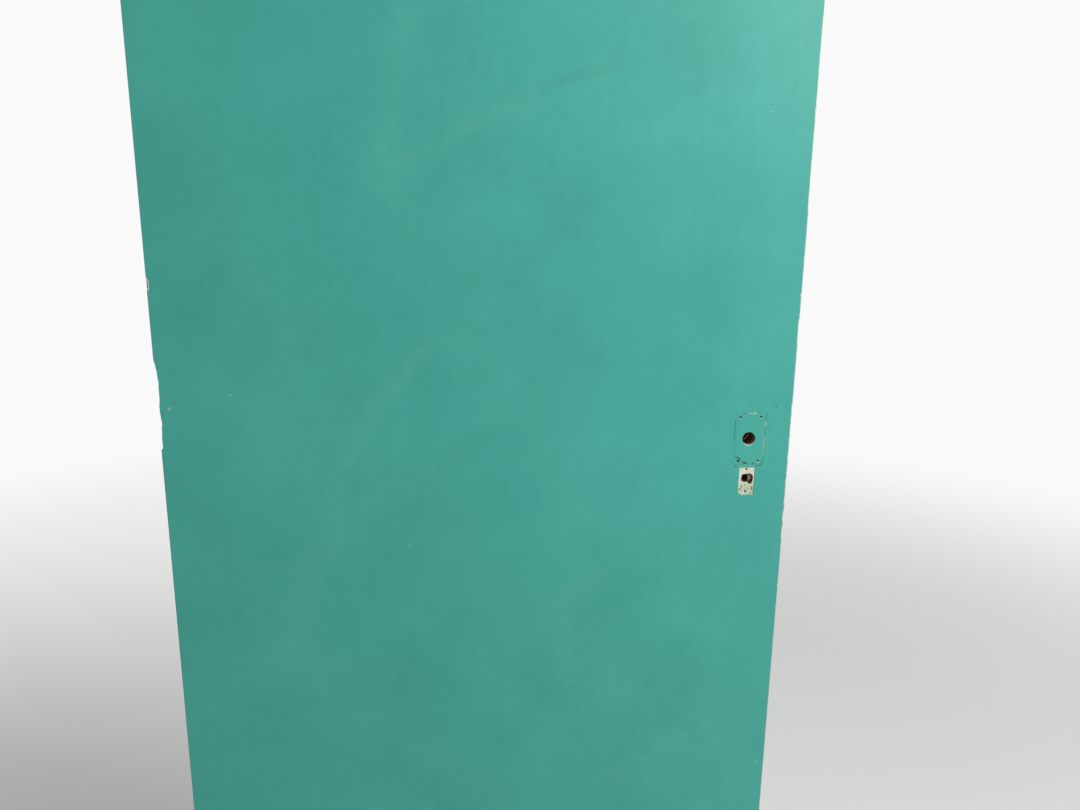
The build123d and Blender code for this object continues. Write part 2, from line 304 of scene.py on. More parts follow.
def distance_to_line(point, line):
    """How far a point is from a line of points, or from its only point."""
    nearest = (point - line[0]).length
    for start, end in zip(line, line[1:]):
        along = end - start
        share = max(0.0, min(1.0, (point - start).dot(along) / along.length_squared))
        nearest = min(nearest, (point - start - along * share).length)
    return nearest


def outside_rectangle(point, middle, width, height, corner):
    """How far a point is outside a rounded rectangle, and below 0 inside it."""
    across = abs(point.x - middle.x) - width / 2 + corner
    up = abs(point.y - middle.y) - height / 2 + corner
    return Vector((max(across, 0.0), max(up, 0.0))).length + min(max(across, up), 0.0) - corner


def ripple(place, wavelength, seed=0.0):
    """Smooth noise from -1 to 1 at a place, with features of about one wavelength."""
    return noise.noise(Vector(place) / wavelength + Vector((seed, seed * 1.7, -seed)))


# Mesh work

def node_mesh(name):
    """A copy of a CAD node's mesh, with its loose triangles merged into whole faces."""
    bm = bmesh.new()
    bm.from_mesh(frame["nodes"][name].data)
    bmesh.ops.remove_doubles(bm, verts=bm.verts, dist=MERGE_DISTANCE)
    bmesh.ops.dissolve_limit(bm, angle_limit=COPLANAR, verts=bm.verts, edges=bm.edges)
    return bm


def steps(low, high, spacing):
    """Places between two ends, evenly spaced."""
    count = max(1, round((high - low) / spacing))
    return [low + (high - low) * i / count for i in range(count + 1)]


def cut_across(bm, faces, axis, places):
    """Cuts faces at each place along an axis, the middle one first, and gives all of them back."""
    if not places or not faces:
        return faces
    half = len(places) // 2
    normal = Vector([float(i == axis) for i in range(3)])
    edges = {edge for face in faces for edge in face.edges}
    verts = {vert for face in faces for vert in face.verts}
    cut = bmesh.ops.bisect_plane(bm, geom=[*faces, *edges, *verts], dist=CUT_SNAP,
                                 plane_co=normal * places[half], plane_no=normal)
    lower, upper = [], []
    for part in cut["geom"]:
        if isinstance(part, bmesh.types.BMFace):
            side = upper if part.calc_center_median()[axis] > places[half] else lower
            side.append(part)
    return cut_across(bm, lower, axis, places[:half]) + cut_across(bm, upper, axis, places[half + 1 :])


def within(face, low, high, margin=0.0):
    """Whether the middle of a face is inside a box."""
    middle = face.calc_center_median()
    return all(low[i] - margin <= middle[i] <= high[i] + margin for i in range(3))


def touches(face, low, high):
    """Whether the box round a face reaches into another box."""
    for axis in range(3):
        places = [vert.co[axis] for vert in face.verts]
        if min(places) > high[axis] or max(places) < low[axis]:
            return False
    return True


def grid_region(bm, low, high, spacing):
    """Cuts the faces inside a box into a grid across and up, and gives them."""
    near = [face for face in bm.faces if touches(face, low, high)]
    near = cut_across(bm, near, 0, [low.x, high.x])
    near = cut_across(bm, near, 2, [low.z, high.z])
    inner = [face for face in near if within(face, low, high, NEAR)]
    inner = cut_across(bm, inner, 0, steps(low.x, high.x, spacing)[1:-1])
    return cut_across(bm, inner, 2, steps(low.z, high.z, spacing)[1:-1])


def refine(bm, faces, cuts, upright=False, shortest=0.0):
    """Divides the edges of faces evenly, all of them or only the upright ones, down to a shortest one."""
    edges = {edge for face in faces for edge in face.edges if edge.calc_length() > shortest}
    if upright:
        edges = {edge for edge in edges if is_upright(edge)}
    bmesh.ops.subdivide_edges(bm, edges=list(edges), cuts=cuts, use_grid_fill=True)


def is_upright(edge):
    """Whether an edge runs straight up the door."""
    run = edge.verts[1].co - edge.verts[0].co
    return abs(run.z) > 0.99 * run.length


def finish_piece(bm, name, materials, replaced):
    """Makes the object of a finished mesh, which rides with the leaf and may stand for a CAD node."""
    for face in bm.faces:
        face.smooth = True
    mesh = bpy.data.meshes.new(name)
    bm.to_mesh(mesh)
    bm.free()
    for material in materials:
        mesh.materials.append(finish(material))
    mesh.set_sharp_from_angle(angle=SHARP)
    piece = bpy.data.objects.new(name, mesh)
    bpy.context.scene.collection.objects.link(piece)
    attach(piece, "root")
    if replaced:
        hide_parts(replaced)


# Materials

# Turns a noise off its own grid, which would show as straight bands on a flat face
OFF_GRID = {"Rotation": (0.4, 0.7, 0.3), "Location": (0.31, 0.47, 0.22)}
# A Mix node takes colours at inputs 6 and 7 and gives output 2, and takes numbers at 2 and 3 and gives 0
TONES = {"output": 2, "data_type": "RGBA"}
# Length of one ring of a Wave node with a scale of 1
WAVE_LENGTH = 0.314


def add(tree, kind, inputs=None, output=0, **settings):
    """Adds a node with its settings, and its inputs as values or links, and gives one of its outputs."""
    made = tree.nodes.new("ShaderNode" + kind)
    for name, value in settings.items():
        setattr(made, name, value)
    for name, value in (inputs or {}).items():
        if isinstance(value, bpy.types.NodeSocket):
            tree.links.new(value, made.inputs[name])
        else:
            made.inputs[name].default_value = value
    return made.outputs[output] if made.outputs else None


def per(millimetres):
    """The scale of a noise whose features are about this long."""
    return 1 / (millimetres * MM)


def solid(rgb):
    """A colour for a node's socket."""
    return (*rgb, 1.0)


def new_material(name):
    """A material with an empty tree; gives the material, its tree and its Object coordinates."""
    material = bpy.data.materials.new(name)
    material.use_nodes = True
    material.node_tree.nodes.clear()
    return material, material.node_tree, add(material.node_tree, "TexCoord", output="Object")


def close_material(tree, coat, specular=0.5, metallic=0.0):
    """Ends a tree with its shader; a coat is a colour, a roughness and a height in millimetres."""
    tone, shine, height = coat
    bump = add(tree, "Bump", {"Height": height, "Distance": MM, "Strength": 1.0})
    shader = add(tree, "BsdfPrincipled", {
        "Base Color": tone, "Roughness": shine, "Normal": bump,
        "Specular IOR Level": specular, "Metallic": metallic})
    add(tree, "OutputMaterial", {"Surface": shader})


def lay(tree, lower, upper, mask):
    """Lays one coat over another where the mask is 1."""
    tone = add(tree, "Mix", {0: mask, 6: lower[0], 7: upper[0]}, **TONES)
    shine = add(tree, "Mix", {0: mask, 2: lower[1], 3: upper[1]})
    height = add(tree, "Mix", {0: mask, 2: lower[2], 3: upper[2]})
    return tone, shine, height


def enamel_coat(tree, place, paint, film):
    """Satin enamel from a roller: soft clouds of tone, a fine stipple and faint upright brush lines."""
    turned = add(tree, "Mapping", {"Vector": place, **OFF_GRID})
    clouds = add(tree, "TexNoise", {"Vector": turned, "Scale": per(120), "Detail": 4.0})
    drawn = add(tree, "Mapping", {"Vector": place, "Scale": (1.0, 1.0, 0.03), **OFF_GRID})
    lines = add(tree, "TexNoise", {"Vector": drawn, "Scale": per(2.6), "Detail": 2.0})
    stipple = add(tree, "TexNoise", {"Vector": turned, "Scale": per(1.7), "Detail": 3.0})
    patches = add(tree, "TexNoise", {"Vector": turned, "Scale": per(14), "Detail": 3.0})
    share = add(tree, "Math", {0: clouds, 1: 1.1, 2: -0.30}, operation="MULTIPLY_ADD")
    for pattern, strength in ((patches, 0.46), (lines, 0.30), (stipple, 0.5)):
        share = add(tree, "Math", {0: pattern, 1: strength, 2: share}, operation="MULTIPLY_ADD")
    share = add(tree, "Math", {0: share, 1: 0.40}, operation="SUBTRACT", use_clamp=True)
    tone = add(tree, "Mix", {0: share, 6: solid(paint.enamel), 7: solid(paint.enamel_light)}, **TONES)
    shine = add(tree, "MapRange", {"Value": patches, "To Min": 0.36, "To Max": 0.50})
    rolled = add(tree, "Math", {0: stipple, 1: 0.030, 2: film / MM}, operation="MULTIPLY_ADD")
    height = add(tree, "Math", {0: lines, 1: 0.012, 2: rolled}, operation="MULTIPLY_ADD")
    return tone, shine, height


def cream_coat(tree, place, paint, film):
    """Old oil gloss from a brush: long brush lines, yellowed in patches, with fine dirt in its grain."""
    drawn = add(tree, "Mapping", {"Vector": place, "Scale": (1.0, 1.0, 0.02), **OFF_GRID})
    lines = add(tree, "TexNoise", {"Vector": drawn, "Scale": per(0.9), "Detail": 2.0})
    patches = add(tree, "TexNoise", {"Vector": place, "Scale": per(22), "Detail": 4.0})
    dust = add(tree, "TexNoise", {"Vector": place, "Scale": per(0.8), "Detail": 4.0})
    share = add(tree, "MapRange", {"Value": patches, "From Min": 0.40, "From Max": 0.68})
    tone = add(tree, "Mix", {0: share, 6: solid(paint.cream), 7: solid(paint.cream_aged)}, **TONES)
    specks = add(tree, "MapRange", {"Value": dust, "From Min": 0.60, "From Max": 0.74, "To Max": 0.55})
    tone = add(tree, "Mix", {0: specks, 6: tone, 7: solid(paint.grime_and_shade)}, **TONES)
    shine = add(tree, "MapRange", {"Value": patches, "To Min": 0.30, "To Max": 0.55})
    height = add(tree, "Math", {0: lines, 1: 0.03, 2: film / MM}, operation="MULTIPLY_ADD")
    return tone, shine, height


def hardboard_coat(tree, place, paint):
    """Pressed wood fibre: brown, matt and felted, with dark fibres in it.

    Real fibres are a tenth of a millimetre thick, too fine to show, so they are drawn coarser.
    """
    fibres = add(tree, "TexNoise", {"Vector": place, "Scale": per(0.7), "Detail": 6.0, "Roughness": 0.7})
    broad = add(tree, "TexNoise", {"Vector": place, "Scale": per(30), "Detail": 3.0})
    both = add(tree, "Math", {0: broad, 1: 0.5, 2: fibres}, operation="MULTIPLY_ADD")
    share = add(tree, "MapRange", {"Value": both, "From Min": 0.55, "From Max": 0.95})
    tone = add(tree, "Mix", {0: share, 6: solid(paint.hardboard_dark), 7: solid(paint.hardboard)}, **TONES)
    shine = add(tree, "MapRange", {"Value": fibres, "To Min": 0.75, "To Max": 0.95})
    height = add(tree, "Math", {0: fibres, 1: 0.12}, operation="MULTIPLY")
    return tone, shine, height


def pine_coat(tree, place, paint, along="Z"):
    """Planed pine: growth rings round a pith beside the piece, and fibres along the grain.

    Real fibres are a few hundredths of a millimetre thick, too fine to show, so they are drawn coarser.
    """
    turn = (0.0, pi / 2, 0.0) if along == "X" else (0.0, 0.0, 0.0)
    grain = add(tree, "Mapping", {"Vector": place, "Rotation": turn, "Location": (0.031, 0.044, 0.0)})
    slow = add(tree, "Mapping", {"Vector": grain, "Scale": (1.0, 1.0, 0.07)})
    sway = add(tree, "TexNoise", {"Vector": slow, "Scale": per(26), "Detail": 3.0}, output="Color")
    bent = add(tree, "VectorMath", {0: sway, 1: (0.5, 0.5, 0.5)}, operation="SUBTRACT")
    bent = add(tree, "VectorMath", {0: bent, "Scale": 0.016}, operation="SCALE")
    bent = add(tree, "VectorMath", {0: grain, 1: bent})
    rings = add(tree, "TexWave", {"Vector": bent, "Scale": WAVE_LENGTH * per(3.4)}, output="Fac",
                wave_type="RINGS", rings_direction="Z", wave_profile="SAW")
    drawn = add(tree, "Mapping", {"Vector": grain, "Scale": (1.0, 1.0, 0.025)})
    fibres = add(tree, "TexNoise", {"Vector": drawn, "Scale": per(0.5), "Detail": 4.0})
    late = add(tree, "Math", {0: rings, 1: 2.2}, operation="POWER")
    mixed = add(tree, "Math", {0: fibres, 1: 0.7, 2: -0.25}, operation="MULTIPLY_ADD")
    share = add(tree, "Math", {0: late, 1: 0.75, 2: mixed}, operation="MULTIPLY_ADD", use_clamp=True)
    tone = add(tree, "Mix", {0: share, 6: solid(paint.pine_early), 7: solid(paint.pine_late)}, **TONES)
    shine = add(tree, "MapRange", {"Value": fibres, "To Min": 0.60, "To Max": 0.80})
    ridged = add(tree, "Math", {0: fibres, 1: 0.05}, operation="MULTIPLY")
    height = add(tree, "Math", {0: late, 1: 0.03, 2: ridged}, operation="MULTIPLY_ADD")
    return tone, shine, height


def painted(tree, place, paint, film, ground):
    """Two coats over a bare ground: cream all over, and teal on the faces and just round the arrises.

    Where the mesh is worn the coats end raggedly, the enamel first, and round that it is rubbed thin.
    """
    nick = add(tree, "TexNoise", {"Vector": place, "Scale": per(0.9), "Detail": 3.0})
    patch = add(tree, "TexNoise", {"Vector": place, "Scale": per(4), "Detail": 2.0})
    worn = add(tree, "Attribute", output="Fac", attribute_name="wear")
    for pattern, strength in ((nick, 0.34), (patch, 0.22)):
        worn = add(tree, "Math", {0: pattern, 1: strength, 2: worn}, operation="MULTIPLY_ADD")
    worn = add(tree, "Math", {0: worn, 1: 0.28}, operation="SUBTRACT")
    thin, off, bare = (add(tree, "MapRange", {"Value": worn, "From Min": start, "From Max": end})
                       for start, end in ((0.26, 0.46), (0.48, 0.53), (0.84, 0.90)))

    depth = add(tree, "SeparateXYZ", {0: place}, output="Y")
    beside = add(tree, "Math", {0: depth}, operation="ABSOLUTE")
    inward = add(tree, "Math", {0: BACK, 1: beside}, operation="SUBTRACT")
    drawn = add(tree, "Mapping", {"Vector": place, "Scale": (1.0, 0.2, 1.0)})
    tongue = add(tree, "TexNoise", {"Vector": drawn, "Scale": per(9), "Detail": 4.0})
    lap = add(tree, "MapRange", {"Value": tongue, "From Min": 0.35, "From Max": 0.75,
                                 "To Min": 0.7 * MM, "To Max": 5.5 * MM})
    over = add(tree, "Math", {0: lap, 1: inward}, operation="SUBTRACT")
    reached = add(tree, "MapRange", {"Value": over, "From Min": 0.0, "From Max": 0.12 * MM})
    kept = add(tree, "Math", {0: 1.0, 1: off}, operation="SUBTRACT")
    teal = add(tree, "Math", {0: reached, 1: kept}, operation="MULTIPLY")

    cream = cream_coat(tree, place, paint, film)
    enamel = enamel_coat(tree, place, paint, 2 * film)
    rubbed = add(tree, "Math", {0: thin, 1: 0.75}, operation="MULTIPLY")
    tone = add(tree, "Mix", {0: rubbed, 6: enamel[0], 7: solid(paint.enamel_thin)}, **TONES)
    coat = lay(tree, lay(tree, cream, ground, bare), (tone, enamel[1], enamel[2]), teal)
    return soiled_and_shaded(tree, place, paint, coat)


def soiled_and_shaded(tree, place, paint, coat):
    """Grime, painted shade in holes and cuts, and pale smears over a coat, broken up by what is under them.
    """
    soil_and_shade = add(tree, "Attribute", output="Fac", attribute_name="soil_and_shade")
    grain = add(tree, "TexNoise", {"Vector": place, "Scale": per(1.1), "Detail": 4.0})
    streak = add(tree, "TexNoise", {"Vector": place, "Scale": per(17), "Detail": 3.0})
    broken = add(tree, "MapRange", {"Value": streak, "From Min": 0.28, "From Max": 0.72})
    uneven = add(tree, "Math", {0: broken, 1: 1.2, 2: 0.4}, operation="MULTIPLY_ADD")
    dark = add(tree, "Math", {0: soil_and_shade, 1: -1.0}, operation="MULTIPLY")
    dark = add(tree, "Math", {0: grain, 1: 0.8, 2: dark}, operation="MULTIPLY_ADD")
    stain = add(tree, "MapRange", {"Value": dark, "From Min": 0.82, "From Max": 1.02, "To Max": 0.9})
    shade = add(tree, "MapRange", {"Value": soil_and_shade, "From Min": 0.0, "From Max": -0.5, "To Max": 0.16})
    shade = add(tree, "Math", {0: shade, 1: uneven}, operation="MULTIPLY")
    grime_and_shade = add(tree, "Math", {0: stain, 1: shade}, operation="MAXIMUM")
    pale = add(tree, "Math", {0: soil_and_shade, 1: broken}, operation="MULTIPLY", use_clamp=True)
    pale = add(tree, "Math", {0: pale, 1: 0.7}, operation="MULTIPLY")
    tone = add(tree, "Mix", {0: pale, 6: coat[0], 7: solid(paint.smear)}, **TONES)
    tone = add(tree, "Mix", {0: grime_and_shade, 6: tone, 7: solid(paint.grime_and_shade)}, **TONES)
    shine = add(tree, "Mix", {0: grime_and_shade, 2: coat[1], 3: 0.85})
    return tone, shine, coat[2]


def finish(name):
    """One of the door's materials; the first call makes them all."""
    if name not in bpy.data.materials:
        make_finishes(bpy.context.scene.door_paint, bpy.context.scene.door_wear.film)
    return bpy.data.materials[name]


def make_finishes(paint, film):
    """Makes every material of the door."""
    # Satin enamel over old gloss on hardboard: an even teal with a soft sheen, cream where it has gone
    _, tree, place = new_material("Satin enamel on hardboard")
    close_material(tree, painted(tree, place, paint, film, hardboard_coat(tree, place, paint)), specular=0.35)
    # Old gloss on pine: cream with brush lines and tongues of teal, and yellow wood where it has gone
    _, tree, place = new_material("Old gloss on pine")
    close_material(tree, painted(tree, place, paint, film, pine_coat(tree, place, paint)))
    # Bare hardboard: brown and felted, with no shine
    _, tree, place = new_material("Bare hardboard")
    close_material(tree, soiled_and_shaded(tree, place, paint, hardboard_coat(tree, place, paint)), specular=0.3)
    # Planed pine: yellow, with darker growth rings along the piece and arcs of them on its ends
    for name, along in (("Planed pine upright", "Z"), ("Planed pine level", "X")):
        _, tree, place = new_material(name)
        close_material(tree, soiled_and_shaded(tree, place, paint, pine_coat(tree, place, paint, along)), specular=0.35)
    # Galvanised wire: dull grey metal with patches of white bloom
    _, tree, place = new_material("Galvanised wire")
    bloom = add(tree, "TexNoise", {"Vector": place, "Scale": per(2), "Detail": 3.0})
    shine = add(tree, "MapRange", {"Value": bloom, "To Min": 0.30, "To Max": 0.60})
    close_material(tree, (solid(paint.zinc), shine, bloom), metallic=1.0)


# Paint and wear on the skins

def layers(bm):
    """The two vertex attributes that the paints read: wear, and darkening by dirt and painted shade."""
    return bm.verts.layers.float.new("wear"), bm.verts.layers.float.new("soil_and_shade")


def apply_marks(verts, marks, wear, soil_and_shade):
    """Writes marks into the attributes of the vertices they reach."""
    for item in marks:
        line, reach = item["line"], item["reach"]
        low_x, high_x = min(p.x for p in line) - reach, max(p.x for p in line) + reach
        low_z, high_z = min(p.y for p in line) - reach, max(p.y for p in line) + reach
        for vert in verts:
            if low_x < vert.co.x < high_x and low_z < vert.co.z < high_z:
                near = smooth(1 - distance_to_line(vert.co.xz, line) / reach)
                vert[wear] = max(vert[wear], item["wear"] * near)
                if abs(item["soil_and_shade"] * near) > abs(vert[soil_and_shade]):
                    vert[soil_and_shade] = item["soil_and_shade"] * near


def near_mark(face, marks, margin):
    """Whether a face lies on the front, and within a margin of what one of the marks reaches."""
    middle = face.calc_center_median()
    if middle.y > FRONT + NEAR:
        return False
    return any(distance_to_line(middle.xz, item["line"]) < item["reach"] + margin for item in marks)


def arris_wear(vert, outer, face, table, seed):
    """How far the paint is worn near one long arris, between the outer edge and a wide face."""
    across = max(abs(vert.co.x - outer), abs(vert.co.y - face))
    height = Vector((0, 0, vert.co.z))
    reach = (2.3 + 0.6 * ripple(height, 23 * MM, seed)) * MM
    amount = between(table, (vert.co.z - SPINDLE.z) / MM)
    amount += 0.08 * ripple(height, 11 * MM, seed + 3) + 0.06 * ripple(height, 3 * MM, seed + 5)
    return amount * smooth(1.45 - across / reach)


def paint_groups(bm, face):
    """Gives the faces that were never painted the second material: cuts, ends and the inner side."""
    outward = -1 if face < 0 else 1
    rounding = 1.1 * MM
    for item in bm.faces:
        middle, normal = item.calc_center_median(), item.normal
        wide = normal.y * outward > 0.5 and abs(middle.y) > abs(TRACE_FLOOR) - NEAR
        trace_rim = abs(middle.y) > abs(TRACE_FLOOR)
        long_edge = abs(normal.x) > 0.9 and abs(middle.x) > LOCK_EDGE - NEAR
        at_border = abs(middle.x) > LOCK_EDGE - rounding or not MM < middle.z < TOP - MM
        rounded = at_border and abs(middle.y) > abs(face) - rounding and abs(normal.z) < 0.95
        item.material_index = 0 if wide or trace_rim or long_edge or rounded else 1


def skin_grid(bm, wear_sizes, kept=(), marks=()):
    """Cuts a skin evenly, and closely at marks and along its two long edges; kept faces stay as they are."""
    spacing, reach = wear_sizes.face_spacing, wear_sizes.edge_reach
    fine = set(kept)
    inside = abs(SKIN_INSIDE) + NEAR
    faces = [face for face in bm.faces if face not in fine and abs(face.calc_center_median().y) > inside]
    faces = cut_across(bm, faces, 2, steps(0, TOP, spacing)[1:-1])
    close = [(LOCK_EDGE - place * MM) for place in STRIP_CUTS]
    across = steps(HINGE_EDGE + reach, LOCK_EDGE - reach, spacing)
    cut_across(bm, faces, 0, sorted([*across, *close, *(-place for place in close)]))
    refine(bm, [face for face in bm.faces if near_mark(face, marks, 0.75 * spacing)], MARK_CUTS)
    strips = [face for face in bm.faces if abs(face.calc_center_median().x) > LOCK_EDGE - reach]
    # What the marks' cuts have already divided is shorter than this
    whole = spacing / 8
    refine(bm, strips, round(spacing / wear_sizes.edge_spacing) - 1, upright=True, shortest=whole)
    bmesh.ops.dissolve_degenerate(bm, edges=bm.edges, dist=CUT_SNAP)


class DOOR_OT_front_skin(Operator):
    """Front skin: its paints, the traces of the two plates, the chips and the worn arrises"""

    bl_idname = "door.front_skin"
    bl_label = "Front Skin"

    def execute(self, context):
        sizes = context.scene.door_wear
        bm = node_mesh("front_skin")
        low = Vector((SPINDLE.x - FINE_LEFT, FRONT - NEAR, SPINDLE.z - FINE_DOWN))
        high = Vector((SPINDLE.x + FINE_RIGHT, TRACE_FLOOR + NEAR, SPINDLE.z + FINE_UP))
        fine = grid_region(bm, low, high, sizes.fine_spacing)
        hole_low = Vector((KEY.x - KEYHOLE_REACH, TRACE_FLOOR, KEY.z - KEYHOLE_REACH))
        hole_high = Vector((KEY.x + KEYHOLE_REACH, SKIN_INSIDE, KEY.z + KEYHOLE_REACH))
        walls = [face for face in bm.faces if within(face, hole_low, hole_high) and abs(face.normal.y) < 0.5]
        fine += cut_across(bm, walls, 1, steps(TRACE_FLOOR, SKIN_INSIDE, 0.6 * MM)[1:-1])
        skin_grid(bm, sizes, fine, FACE_MARKS)
        bm.normal_update()
        paint_groups(bm, FRONT)
        for face in bm.faces:
            x, y, z = face.calc_center_median()
            if x < HINGE_EDGE + CHIP_DEPTH and abs(z - FREE_CHIP) < CHIP_HALF and y < SKIN_INSIDE:
                face.material_index = 0
        wear, soil_and_shade = layers(bm)
        self.wear_paint(bm, sizes, wear, soil_and_shade)
        self.sink(bm, sizes, wear)
        self.tear(bm)
        finish_piece(bm, "front_skin_painted", ["Satin enamel on hardboard", "Bare hardboard"],
                     "front_skin")
        return {"FINISHED"}

    def wear_paint(self, bm, sizes, wear, soil_and_shade):
        """Writes the whole skin's wear, and its dirt and painted shade in holes, into its vertices."""
        face = [vert for vert in bm.verts if vert.co.y < TRACE_FLOOR + NEAR]
        for vert in face:
            inside = -outside_rectangle(vert.co.xz, KEY_TRACE, sizes.key_trace_width, sizes.key_trace_height,
                                        sizes.trace_corner)
            if inside > -1.5 * MM:
                lower = smooth((KEY_TRACE.y + 3 * MM - vert.co.z) / (14 * MM))
                ragged = (0.25 + 0.5 * lower) * ripple(vert.co, 1.6 * MM, 2) * MM
                vert[wear] = (0.70 - 0.12 * lower) * smooth(0.5 + (inside + ragged) / (0.9 * MM))
                blots = 0.42 * ripple(vert.co, 2.6 * MM, 6) + 0.36 * ripple(vert.co, 1.2 * MM, 13)
                grimy = min(0.0, -0.06 - 0.30 * lower + (0.25 + 0.75 * lower) * blots)
                vert[soil_and_shade] = grimy * smooth(inside / MM)
            # A dark line along the outline of the handle plate's trace, wider than the cut's step: dirt in
            # the cut, and painted shade of the step
            from_line = abs(self.inside_handle_trace(vert, sizes))
            vert[soil_and_shade] = min(vert[soil_and_shade], -0.34 * smooth(1 - from_line / (0.8 * MM)))
        apply_marks(face, LOCK_MARKS + FACE_MARKS + SMEARS, wear, soil_and_shade)
        for vert in bm.verts:
            # The skin's torn walls in the broken keyhole are darkened: painted shade inside the hole
            if vert.co.y > TRACE_FLOOR + NEAR and (vert.co - KEY).xz.length < TORN_REACH:
                vert[soil_and_shade] = -0.6
            if vert.co.x > LOCK_EDGE - sizes.edge_reach:
                vert[wear] = max(vert[wear], arris_wear(vert, LOCK_EDGE, FRONT, LOCK_ARRIS_WEAR, 1))
            if vert.co.x < HINGE_EDGE + sizes.edge_reach:
                vert[wear] = max(vert[wear], arris_wear(vert, HINGE_EDGE, FRONT, HINGE_ARRIS_WEAR, 8))
        for vert in face:
            vert[wear] = max(vert[wear], 0.95 * self.spindle_burr(vert))

    def inside_handle_trace(self, vert, sizes):
        """How far a vertex is inside the trace of the handle's plate, and below 0 outside it."""
        return -outside_rectangle(vert.co.xz, HANDLE_MIDDLE.xz, sizes.handle_trace_width,
                                  sizes.handle_trace_height, sizes.trace_corner)

    def spindle_burr(self, vert):
        """How much of the rim has crumbled: a crescent at the lower right of the spindle hole."""
        outward = (vert.co - SPINDLE).xz
        rim = outward.length - SPINDLE_RADIUS
        if abs(rim) >= 3 * MM:
            return 0.0
        toward = outward.normalized().dot(Vector((cos(BURR_TURN), sin(BURR_TURN))))
        width = 1.9 * MM * smooth((toward - 0.25) / 0.6)
        return smooth(1 - max(rim, 0.0) / width) if width > NEAR else 0.0

    def sink(self, bm, sizes, wear):
        """Sinks the worn places, and lifts the bed of the handle plate nearly level with the face."""
        for vert in bm.verts:
            worn, side = vert[wear], (1 if vert.co.x > 0 else -1)
            depth = sizes.film * smooth((worn - 0.40) / 0.2) + sizes.chip * smooth((worn - 0.72) / 0.28)
            if vert.co.y < TRACE_FLOOR + NEAR:
                inside = self.inside_handle_trace(vert, sizes)
                if vert.co.y > TRACE_FLOOR - NEAR and inside > 0:
                    vert.co.y -= (0.24 * MM) * smooth((inside - 0.2 * MM) / (1.4 * MM))
                depth = max(depth, 0.9 * MM * self.spindle_burr(vert))
                if abs(vert.co.x) < LOCK_EDGE - MM:
                    vert.co.y += depth
                else:
                    heart = Vector((side * (LOCK_EDGE - 2 * MM), FRONT + 2 * MM, vert.co.z))
                    vert.co += (heart - vert.co).normalized() * depth
            elif abs(vert.co.x) > LOCK_EDGE - NEAR:
                vert.co.x -= depth * side

    def tear(self, bm):
        """Frays the rim of the middle gain, and widens the keyhole to its right and tears its wall."""
        for vert in bm.verts:
            height = vert.co.z / MM
            if abs(vert.co.x - GAIN_FLOOR) < 0.5 * MM and GAIN_RIM[0][0] < height < GAIN_RIM[-1][0]:
                frayed = between(GAIN_RIM, height) + 0.15 * ripple(vert.co, 2 * MM, 19)
                vert.co.x = HINGE_EDGE + frayed * MM
            from_key = (vert.co - KEY).xz
            away = from_key.length
            if away > TORN_REACH + MM:
                continue
            wider = smooth((from_key.x - MM) / (5 * MM)) * smooth((TORN_REACH + MM - away) / (5 * MM))
            vert.co.x += 1.5 * MM * wider
            if away < TORN_REACH and vert.co.y < SKIN_INSIDE - NEAR:
                torn = smooth((TORN_REACH - away) / (3 * MM)) * 0.45 * MM
                vert.co.x += torn * ripple(vert.co, 2.1 * MM, 11)
                vert.co.z += torn * ripple(vert.co, 2.1 * MM, 17)


class DOOR_OT_back_skin(Operator):
    """Back skin: plain enamel with lightly rubbed arrises"""

    bl_idname = "door.back_skin"
    bl_label = "Back Skin"

    def execute(self, context):
        sizes = context.scene.door_wear
        bm = node_mesh("back_skin")
        skin_grid(bm, sizes)
        bm.normal_update()
        paint_groups(bm, BACK)
        wear, _ = layers(bm)
        for vert in bm.verts:
            for outer, seed in ((HINGE_EDGE, 21), (LOCK_EDGE, 34)):
                if abs(vert.co.x - outer) < sizes.edge_reach:
                    vert[wear] = max(vert[wear], arris_wear(vert, outer, BACK, BACK_ARRIS_WEAR, seed))
        finish_piece(bm, "back_skin_painted", ["Satin enamel on hardboard", "Bare hardboard"],
                     "back_skin")
        return {"FINISHED"}


